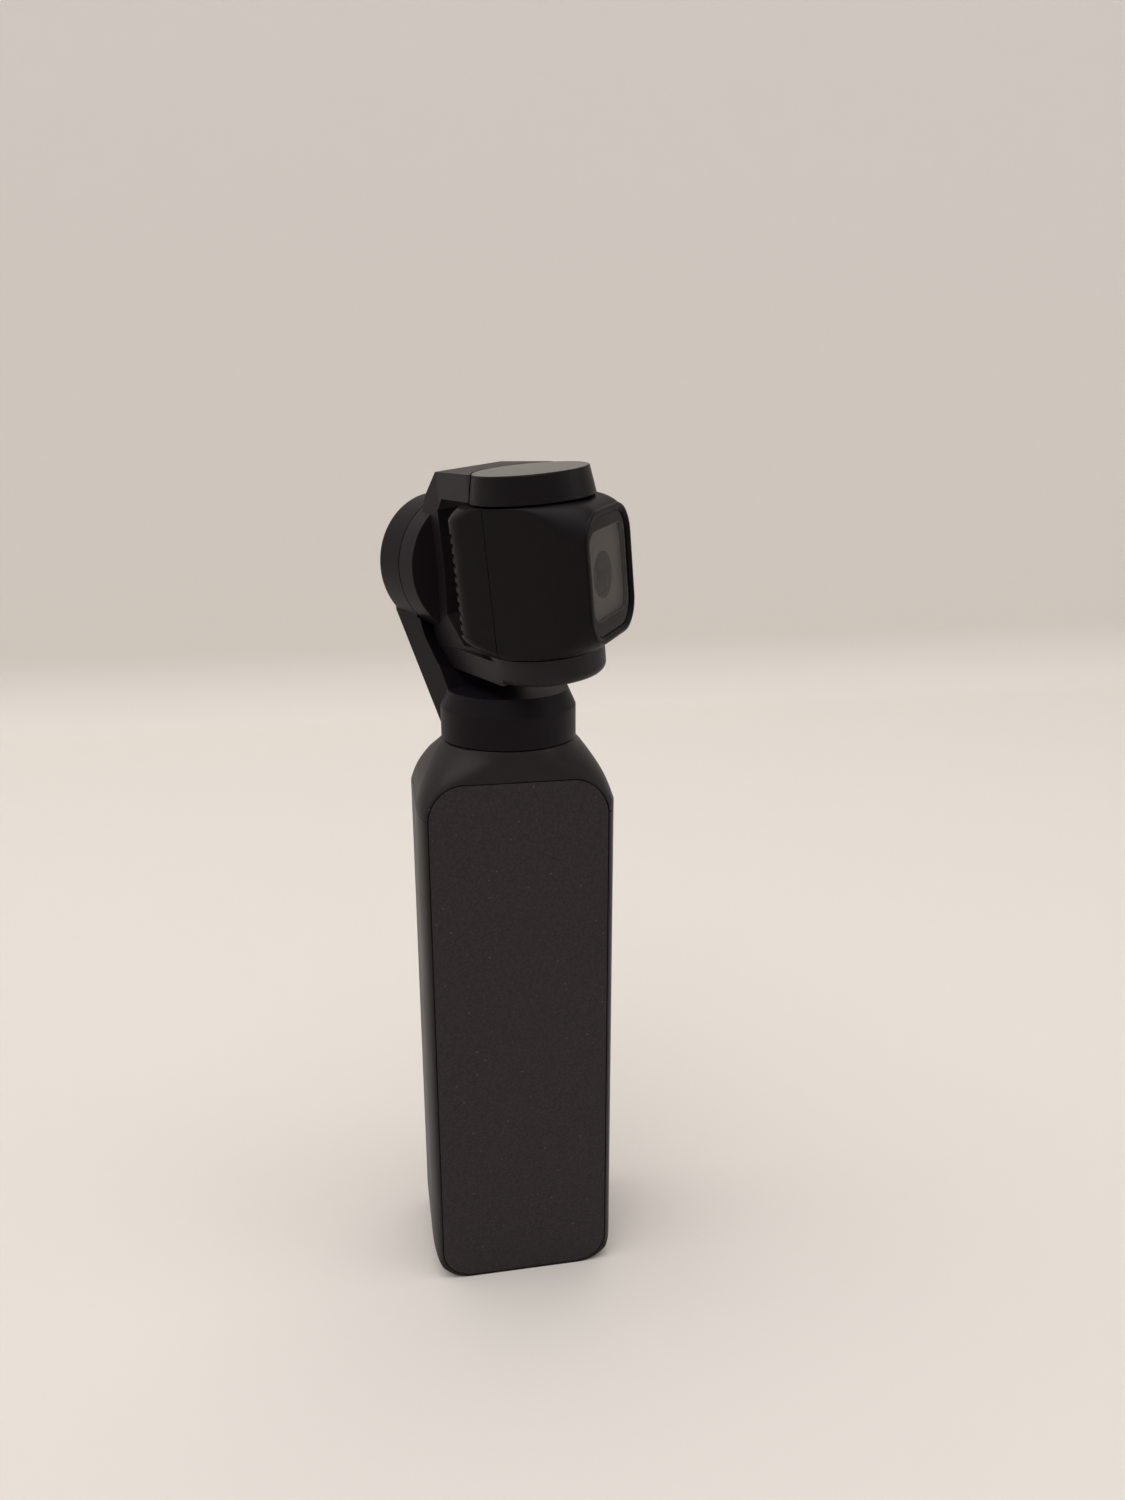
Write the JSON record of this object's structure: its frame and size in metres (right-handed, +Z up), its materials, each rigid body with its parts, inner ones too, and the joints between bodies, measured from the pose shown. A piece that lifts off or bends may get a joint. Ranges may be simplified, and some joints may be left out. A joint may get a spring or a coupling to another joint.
{
  "type": "pocket gimbal camera",
  "caption": "Slim hand grip with a touch screen, keys and ports, whose neck carries a motorised pan, roll and tilt gimbal and a small stabilised camera.",
  "frame": {"origin": "centre of the charging socket's mouth in the grip's flat base", "axes": "+Z up the grip towards the camera, +X towards the narrow side with the card slot, +Y out of the screen"},
  "size_m": [0.0344, 0.0401, 0.1247],
  "materials": {
    "moulded_shell": "fine moulded satin, dark grey-black",
    "grip_skin": "fine leather-like grain, soft touch",
    "gloss_frame": "polished",
    "window_glass": "coated optical glass",
    "screen_glass": "polished cover glass, dark",
    "key_plastic": "satin",
    "lens_black": "baffled matt black",
    "lens_glass": "coated optical glass",
    "clear_guide": "clear light guide",
    "circuit_board": "solder mask",
    "cell_wrap": "foil pouch",
    "chassis_metal": "stamped",
    "socket_steel": "drawn",
    "contact_gold": "plated pads in a black insert",
    "bearing_steel": "ground",
    "shaft_steel": "ground",
    "screw_steel": "black zinc",
    "winding_copper": "enamelled winding on laminations",
    "magnet_plate": "nickel plated",
    "heat_aluminium": "cast fins",
    "sensor_silicon": "cover glass"
  },
  "bodies": {
    "grip": {"handle_frame": "moulded_shell", "shoulder_cap": "moulded_shell", "back_panel": "grip_skin", "front_panel": "grip_skin", "touchscreen_glass": "screen_glass", "display_module": "sensor_silicon", "port_contacts": "contact_gold", "battery_cell": "cell_wrap", "inner_chassis": "chassis_metal", "main_board": "circuit_board", "card_socket": "socket_steel", "usb_socket": "socket_steel", "usb_board": "circuit_board", "button_board": "circuit_board", "microphones": "socket_steel", "status_light": "clear_guide", "frame_screws": "screw_steel", "button_board_screws": "screw_steel", "pan_motor_base": "chassis_metal", "pan_bearings": "bearing_steel", "pan_stator": "winding_copper"},
    "pan_body": {"pan_arm": "moulded_shell", "pan_rotor": "magnet_plate", "pan_shaft": "shaft_steel", "roll_stator": "winding_copper", "roll_bearings": "bearing_steel"},
    "roll_body": {"roll_bracket": "moulded_shell", "roll_rotor": "magnet_plate", "roll_shaft": "shaft_steel", "tilt_motor_cap": "moulded_shell", "tilt_stator": "winding_copper", "tilt_bearing": "bearing_steel", "idler_bearing": "bearing_steel"},
    "camera": {"camera_front_shell": "moulded_shell", "camera_rear_shell": "moulded_shell", "camera_screws": "screw_steel", "lens_frame": "gloss_frame", "lens_window": "window_glass", "lens_mask": "lens_black", "lens_barrel": "lens_black", "lens_elements": "lens_glass", "sensor_board": "circuit_board", "image_sensor": "sensor_silicon", "heatsink": "heat_aluminium", "tilt_rotor": "magnet_plate", "tilt_shaft": "shaft_steel", "idler_pin": "shaft_steel"},
    "shutter_button": {"shutter_button": "key_plastic"},
    "function_button": {"function_button": "key_plastic"},
    "port_cover": {"port_cover": "key_plastic"}
  },
  "joints": [
    {"name": "pan", "type": "hinge", "parent": "grip", "child": "pan_body", "pos_m": [0, 0, 0.1098], "axis": [0, 0, 1], "range_deg": [-118.7, 221.3]},
    {"name": "roll", "type": "hinge", "parent": "pan_body", "child": "roll_body", "pos_m": [0, 0, 0.1098], "axis": [0.4802, -0.8771, 0], "range_deg": [-6.3, 128.7]},
    {"name": "tilt", "type": "hinge", "parent": "roll_body", "child": "camera", "pos_m": [0.00375, -0.00684, 0.1098], "axis": [-0.0963, -0.0527, 0.994], "range_deg": [-126.5, 31.5]},
    {"name": "shutter_press", "type": "slide", "parent": "grip", "child": "shutter_button", "axis": [0, -1, 0], "range_m": [0, 0.0004], "stiffness_N_per_m": 2000},
    {"name": "function_press", "type": "slide", "parent": "grip", "child": "function_button", "axis": [0, -1, 0], "range_m": [0, 0.0004], "stiffness_N_per_m": 2000},
    {"name": "port_cover_slide", "type": "slide", "parent": "grip", "child": "port_cover", "axis": [0, 0, -1], "range_m": [0, 0.0024]}
  ]
}
